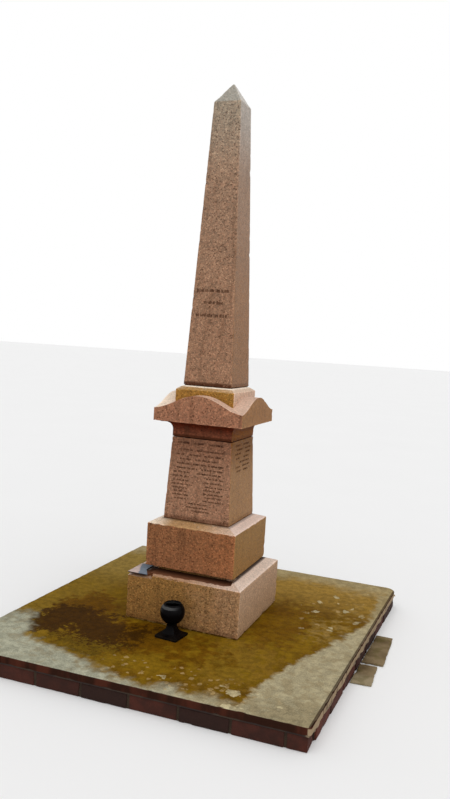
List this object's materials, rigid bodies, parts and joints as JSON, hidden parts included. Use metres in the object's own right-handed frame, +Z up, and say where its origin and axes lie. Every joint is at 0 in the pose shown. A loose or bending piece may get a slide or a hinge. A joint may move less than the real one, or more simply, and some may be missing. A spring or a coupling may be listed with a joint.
{
  "type": "granite memorial obelisk",
  "caption": "Tapering square obelisk on a gabled cap, panelled die and two base blocks, on a slab with a brick footing, and a small urn before its front.",
  "frame": {"origin": "on the obelisk's vertical axis, at the lowest ground under the footing", "axes": "+Z up the obelisk, -Y out of the front, +X to the right of someone facing the front"},
  "size_m": [1.8096, 1.8672, 2.834],
  "materials": {
    "brick": "dark red brick, dirty",
    "hearting": "rough",
    "footing_stone": "rough",
    "bed_mortar": "rough",
    "slab_concrete": "worn, stained",
    "joint_mortar": "dark, weathered",
    "lower_granite": "fine-axed",
    "middle_granite": "fine-axed",
    "die_granite": "polished, weathered",
    "moulding_granite": "polished, weathered",
    "cap_granite": "polished, weathered",
    "neck_granite": "fine-axed",
    "shaft_granite": "polished, weathered",
    "slate": "split",
    "urn_black": "gloss black, worn"
  },
  "bodies": {
    "root": {"footing_front": "brick", "footing_right": "brick", "footing_back": "brick", "footing_left": "brick", "footing_core": "hearting", "footing_stone_near": "footing_stone", "footing_stone_far": "footing_stone", "slab_bed": "bed_mortar", "slab": "slab_concrete", "lower_block_joint": "joint_mortar", "lower_block": "lower_granite", "corner_slate": "slate", "middle_block_joint": "joint_mortar", "middle_block": "middle_granite", "die_joint": "joint_mortar", "die": "die_granite", "moulding_joint": "joint_mortar", "moulding_course": "moulding_granite", "gabled_cap": "cap_granite", "neck_plinth": "neck_granite", "shaft_joint": "joint_mortar", "shaft": "shaft_granite", "urn_foot": "urn_black", "urn_stem": "urn_black", "urn_bowl": "urn_black"}
  },
  "joints": []
}
